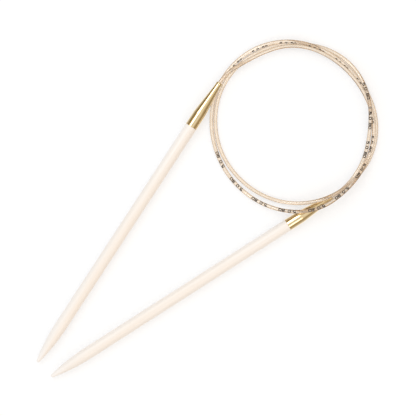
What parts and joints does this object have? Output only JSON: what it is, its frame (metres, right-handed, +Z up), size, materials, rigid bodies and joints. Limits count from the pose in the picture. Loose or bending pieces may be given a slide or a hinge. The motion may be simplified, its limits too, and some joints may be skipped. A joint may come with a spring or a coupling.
{
  "type": "circular knitting needle",
  "caption": "Circular knitting needle: two short pointed wooden needles with tapered brass ferrules, joined by a long thin nylon cord that lies in a loose coil.",
  "frame": {"origin": "midpoint between the two needles, on the table they lie on", "axes": "+X to the right needle, +Y from the needle points to the coil, +Z up from the table"},
  "size_m": [0.0696, 0.1753, 0.0066],
  "materials": {
    "shank_wood": "smooth pale wood, waxed to a soft satin",
    "ferrule_brass": "polished, gold plated",
    "crimp_brass": "plain turned",
    "cord_nylon": "translucent champagne, smooth"
  },
  "bodies": {
    "cord": {"cord_coil": "cord_nylon", "cord_lead_left": "cord_nylon", "cord_lead_right": "cord_nylon"},
    "left_needle": {"left_shank": "shank_wood", "left_ferrule": "ferrule_brass", "left_cord_stop": "crimp_brass", "cord_end_left": "cord_nylon"},
    "right_needle": {"right_shank": "shank_wood", "right_ferrule": "ferrule_brass", "right_cord_stop": "crimp_brass", "cord_end_right": "cord_nylon"}
  },
  "joints": [
    {"name": "left_swing", "type": "hinge", "parent": "cord", "child": "left_needle", "pos_m": [-0.03156, 0.07943, 0.00273], "axis": [0, 0, -1], "range_deg": [-1.2, 60], "stiffness_Nm_per_rad": 0.005, "deforming": ["cord_lead_left"]},
    {"name": "right_swing", "type": "hinge", "parent": "cord", "child": "right_needle", "pos_m": [0.03188, 0.06576, 0.0025], "axis": [0, 0, 1], "range_deg": [-1.2, 30], "stiffness_Nm_per_rad": 0.005, "deforming": ["cord_lead_right"]}
  ]
}
